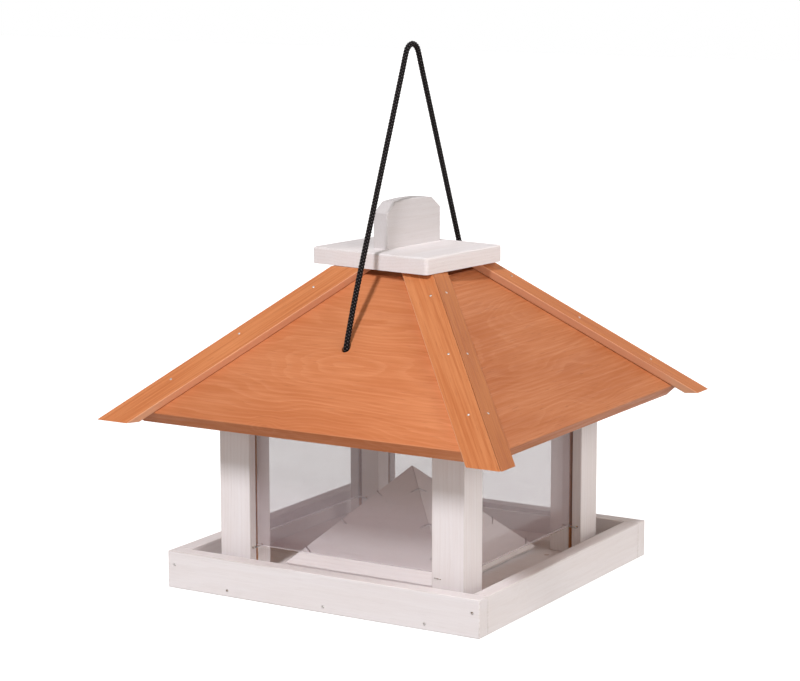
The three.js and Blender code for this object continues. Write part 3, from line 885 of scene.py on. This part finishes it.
# Post staple
# A small staple left in the front face of the front right post, near its foot.
POST_STAPLE_CROWN = 0.0055
POST_STAPLE_LEG = 0.004
POST_STAPLE_WIRE = 0.0007
POST_STAPLE_PROUD = 0.2 * POST_STAPLE_WIRE
POST_STAPLE_ACROSS = 0.0048
POST_STAPLE_UP = 0.0206
POST_STAPLE_LEAN = 0.06

low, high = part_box("post_front_right")
middle = low + Vector((POST_STAPLE_ACROSS, -POST_STAPLE_PROUD, POST_STAPLE_UP))
half_crown = POST_STAPLE_CROWN / 2 * (X_AXIS - POST_STAPLE_LEAN * Z_AXIS)
leg = POST_STAPLE_LEG * Y_AXIS
points = [middle - half_crown + leg, middle - half_crown, middle + half_crown, middle + half_crown + leg]
bm = bmesh.new()
bent_wire(bm, rounded_corners(points, POST_STAPLE_WIRE), POST_STAPLE_WIRE, Z_AXIS, sides=8)
wear_steel(link_piece("post_staple", turned_outwards(bm), bright_steel), "table")

# Roof boards
# Four softwood boards, mitred along the hips and stained orange brown.
# The front and the back one are drilled for the rope, and the undersides got little stain.
ROOF_ROUNDING = 0.0007
ROOF_PITCH = math.radians(40.7)
ROOF_THICKNESS = 0.012
ROOF_PITHS = {
    "front": (0.01, 0.03), "right": (-0.015, 0.035), "back": (0.03, 0.04), "left": (-0.02, 0.03)}
THIN_STAIN = 0.35
# The right board is darkened as painted shade; the front board is made a little brighter.
ROOF_TONES = {"front": 1.05, "right": 0.85}
# The front board grows paler towards its right end as a painted sheen.
ROOF_SHEEN_DRIFTS = {"front": 1.1}

roof_stain = timber_material(
    "stained_roof_wood",
    ring_spacing=0.0034,
    wander=0.06,
    knot_size=0.0028,
    colours={
        "body": (0.63, 0.243, 0.105, 1),
        "cloud": (0.51, 0.169, 0.063, 1),
        "Rings": (0.76, 0.35, 0.175, 1),
        "Streaks": (0.44, 0.13, 0.046, 1),
        "Fibre": (0.48, 0.15, 0.054, 1),
        "Marks": (0.27, 0.075, 0.028, 1),
        "Knots": (0.22, 0.06, 0.024, 1),
        "Arris": (0.68, 0.30, 0.15, 1),
        "Bare": (0.72, 0.46, 0.29, 1),
    },
    strengths={"Rings": 0.27, "Streaks": 0.3, "Fibre": 0.25, "Marks": 0.35, "Knots": 0.1, "Arris": 0.35},
    roughness=(0.45, 0.62),
    sheen=0.15,
    relief=0.00014,
)

for index, side in enumerate(SIDES):
    out = Matrix.Rotation(index * math.pi / 2, 3, "Z") @ -Y_AXIS
    sideways = Z_AXIS.cross(out)
    up_slope = math.sin(ROOF_PITCH) * Z_AXIS - math.cos(ROOF_PITCH) * out
    board = saw_board(
        f"roof_board_{side}", sideways, up_slope, ROOF_PITHS[side], roof_stain,
        ROOF_ROUNDING, ROOF_TONES.get(side, 1.0), ROOF_SHEEN_DRIFTS.get(side, 0.0))
    bare = board.data.attributes.new("bare", "FLOAT", "FACE")
    for face, mark in zip(board.data.polygons, bare.data):
        mark.value = THIN_STAIN if face.normal.dot(out) < 0 and face.normal.z < -0.5 else 0

# Hip battens
# Two stained laths on each hip, mitred where they meet, which run a little past the eave.
# Three bright brads hold each of them, and their inner sides are painted paler as painted light.
BATTEN_ROUNDING = 0.0006
BATTEN_WIDTHS = {"front": 0.0216, "right": 0.0162, "back": 0.0216, "left": 0.0162}
# The two battens on the right board are darkened as painted shade.
BATTEN_TONES = {"right_to_front": 0.78, "right_to_back": 0.88}
PAINTED_LIGHT_SIDES = 0.5
BATTEN_TOP = 0.0063
BATTEN_BRAD_LENGTH = 0.01
BATTEN_BRAD_SHANK = 0.0009
BATTEN_BRAD_HEAD = 0.0019
BATTEN_BRAD_CROWN = 0.00022
BATTEN_BRAD_SIDES = 12
BATTEN_BRAD_SHARES = (0.143, 0.397, 0.657)
BATTEN_BRAD_SHARE_WANDER = 0.012
BATTEN_BRAD_ACROSS = 0.22
BATTEN_BRAD_ACROSS_WANDER = 0.0012

batten_stain = timber_material(
    "stained_batten_wood",
    ring_spacing=0.0017,
    wander=0.008,
    knot_size=0.003,
    colours={
        "body": (0.59, 0.21, 0.076, 1),
        "cloud": (0.51, 0.16, 0.052, 1),
        "Rings": (0.42, 0.125, 0.04, 1),
        "Streaks": (0.74, 0.32, 0.135, 1),
        "Fibre": (0.47, 0.145, 0.05, 1),
        "Marks": (0.27, 0.075, 0.026, 1),
        "Knots": (0.20, 0.055, 0.02, 1),
        "Arris": (0.72, 0.32, 0.15, 1),
        "Bare": (0.88, 0.50, 0.33, 1),
    },
    strengths={"Rings": 0.4, "Streaks": 0.5, "Fibre": 0.3, "Marks": 0.3, "Knots": 0.7, "Arris": 0.45},
    roughness=(0.42, 0.6),
    sheen=0.15,
    relief=0.00014,
)

eave_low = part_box("roof_board_front")[0]
eave_half = -eave_low.y
eave_height = eave_low.z + ROOF_THICKNESS * math.cos(ROOF_PITCH)
hip_length = eave_half * math.sqrt(2 + math.tan(ROOF_PITCH) ** 2)
for index, side in enumerate(SIDES):
    out = Matrix.Rotation(index * math.pi / 2, 3, "Z") @ -Y_AXIS
    sideways = Z_AXIS.cross(out)
    facing = math.sin(ROOF_PITCH) * out + math.cos(ROOF_PITCH) * Z_AXIS
    for hand in (1, -1):
        other = SIDES[(index + hand) % len(SIDES)]
        node = f"hip_batten_{side}_to_{other}"
        corner = eave_half * (out + hand * sideways) + eave_height * Z_AXIS
        up_hip = (-out - hand * sideways + math.tan(ROOF_PITCH) * Z_AXIS).normalized()
        inwards = facing.cross(up_hip) * hand
        batten = saw_board(
            node, up_hip, inwards, (0.012 * hand, 0.03 + 0.004 * index), batten_stain,
            BATTEN_ROUNDING, BATTEN_TONES.get(f"{side}_to_{other}", 1.0))
        # The inner sides get the pale colour as painted light.
        bare = batten.data.attributes.new("bare", "FLOAT", "FACE")
        for face, mark in zip(batten.data.polygons, bare.data):
            mark.value = PAINTED_LIGHT_SIDES if face.normal.dot(inwards) > 0.7 else 0
        chance = random.Random(f"brads {node}")
        bm = bmesh.new()
        for share in BATTEN_BRAD_SHARES:
            wander = chance.uniform(-BATTEN_BRAD_SHARE_WANDER, BATTEN_BRAD_SHARE_WANDER)
            along = (share + wander) * hip_length
            across = BATTEN_WIDTHS[side] * BATTEN_BRAD_ACROSS
            across += chance.uniform(-BATTEN_BRAD_ACROSS_WANDER, BATTEN_BRAD_ACROSS_WANDER)
            point = corner + up_hip * along + inwards * across + facing * BATTEN_TOP
            brad = spun(nail_profile(
                BATTEN_BRAD_LENGTH, BATTEN_BRAD_SHANK, BATTEN_BRAD_HEAD, BATTEN_BRAD_CROWN,
            ), BATTEN_BRAD_SIDES)
            set_in_place(brad, point, facing)
            loose = bpy.data.meshes.new("brad")
            brad.to_mesh(loose)
            brad.free()
            bm.from_mesh(loose)
            bpy.data.meshes.remove(loose)
        wear_steel(link_piece(f"brads_{side}_to_{other}", bm, bright_steel), "table")

# Lid plate
# A loose softwood plate with rounded edges that covers the filling hole, grain running to the back.
LID_TURN = math.radians(-6.7)
# The rounded faces of the lid and handle are darkened a little as painted shade.
LID_EDGE_SHADE = 0.3
ROUND_FACE_SHARE = 0.03
lid_depthways = Matrix.Rotation(LID_TURN, 3, "Z") @ Y_AXIS
lid_sideways = Matrix.Rotation(LID_TURN, 3, "Z") @ X_AXIS


def smooth_rounds(piece):
    """Shades the narrow faces of a rounded shape smooth and darkens them a little as painted shade, and
    leaves its flats.
    """
    faces = piece.data.polygons
    widest = max(face.area for face in faces)
    for face, edge_shade in zip(faces, piece.data.attributes["arris"].data):
        face.use_smooth = face.area < ROUND_FACE_SHARE * widest
        edge_shade.value = LID_EDGE_SHADE * face.use_smooth


lid_plate = saw_board(
    "lid_plate", lid_depthways, lid_sideways, (0.002, 0.5), whitewash, rounding=0)
smooth_rounds(lid_plate)

# Lid handle
# An upright board with its top corners cut off, screwed to the plate from below.
# The whole handle is darkened as painted shade.
HANDLE_SHADE_TONE = 0.78

lid_handle = saw_board(
    "lid_handle", lid_depthways, Z_AXIS, (0.02, 0.05), whitewash, rounding=0,
    tone=HANDLE_SHADE_TONE)
smooth_rounds(lid_handle)

# Lid block and screws
# A square stained block under the plate keeps the lid over the hole; two screws hold the handle.
LID_SCREW_SHANK = 0.003
LID_SCREW_HEAD = 0.006
LID_SCREW_HEAD_HEIGHT = 0.0024

saw_board(
    "lid_locating_block", lid_sideways, lid_depthways, (0.02, 0.03), roof_stain,
    BOARD_ROUNDING)
for end in ("front", "back"):
    screw_from_below(
        f"lid_screw_{end}", "lid", LID_SCREW_SHANK, LID_SCREW_HEAD, LID_SCREW_HEAD_HEIGHT)

# Stage
# A plain pale floor well below the hanging table, a tall soft key light in front, made of three
# lamps one over another, and a warm broad fill from the right.
FLOOR_HEIGHT = -1.9
FLOOR_SIZE = 60
KEY_DIRECTIONS = (Vector((-0.18, 1, -0.89)), Vector((-0.18, 1, -1.035)), Vector((-0.18, 1, -1.2)))
KEY_STRENGTH = 2.4
KEY_SOFTNESS = math.radians(5.5)
KEY_COLOUR = (0.98, 0.965, 1.0)
FILL_DIRECTION = Vector((-0.9, -0.05, -0.48))
FILL_STRENGTH = 1.3
FILL_SOFTNESS = math.radians(46)
FILL_COLOUR = (1.0, 0.94, 0.91)
HORIZON_LIGHT = 0.6
ZENITH_LIGHT = 0.12
AMBIENT_COLOUR = (1, 0.9, 0.8, 1)
WHITE = (1, 1, 1, 1)
FLOOR_COLOUR = (0.54, 0.54, 0.54, 1)
FLOOR_LIFT = 0.75


def seen_directly(tree):
    """1 where the eye, a reflection or a clear sheet shows a thing, 0 where it only gives light."""
    rays = add_node(tree, "ShaderNodeLightPath").outputs
    through = math_node(tree, "MAXIMUM", rays["Is Glossy Ray"], rays["Is Transmission Ray"])
    return math_node(tree, "MAXIMUM", rays["Is Camera Ray"], through)


bm = bmesh.new()
bmesh.ops.create_grid(bm, x_segments=1, y_segments=1, size=FLOOR_SIZE / 2)
bmesh.ops.translate(bm, verts=bm.verts, vec=(0, 0, FLOOR_HEIGHT))
floor_paint, tree, shader = new_material("floor_paint")
shader.inputs["Base Color"].default_value = FLOOR_COLOUR
shader.inputs["Roughness"].default_value = 0.9
shader.inputs["Emission Color"].default_value = WHITE
seen = seen_directly(tree)
tree.links.new(math_node(tree, "MULTIPLY", seen, FLOOR_LIFT), shader.inputs["Emission Strength"])
floor = link_piece("floor", bm, floor_paint)


def add_sun(name, direction, strength, softness, colour):
    """A lamp that shines in one direction; the wider its angle, the softer its shadows."""
    lamp = bpy.data.lights.new(name, "SUN")
    lamp.energy = strength
    lamp.angle = softness
    lamp.color = colour
    sun = bpy.data.objects.new(name, lamp)
    sun.rotation_euler = direction.to_track_quat("-Z", "Y").to_euler()
    scene.collection.objects.link(sun)


for number, direction in enumerate(KEY_DIRECTIONS, 1):
    add_sun(f"key_{number}", direction, KEY_STRENGTH / len(KEY_DIRECTIONS), KEY_SOFTNESS, KEY_COLOUR)
add_sun("fill", FILL_DIRECTION, FILL_STRENGTH, FILL_SOFTNESS, FILL_COLOUR)

world = bpy.data.worlds.new("studio")
world.use_nodes = True
scene.world = world
tree = world.node_tree
seen = seen_directly(tree)
direction = add_node(tree, "ShaderNodeTexCoord").outputs["Generated"]
height = add_node(tree, "ShaderNodeSeparateXYZ", {0: direction}).outputs["Z"]
ambient = range_node(tree, height, 0.1, 0.7, HORIZON_LIGHT, ZENITH_LIGHT)
level = add_node(tree, "ShaderNodeMapRange", {"Value": seen, "To Min": ambient, "To Max": 1.0}).outputs[0]
background = tree.nodes["Background"]
tree.links.new(mix_node(tree, seen, AMBIENT_COLOUR, WHITE), background.inputs["Color"])
tree.links.new(level, background.inputs["Strength"])

scene.view_settings.view_transform = "Standard"
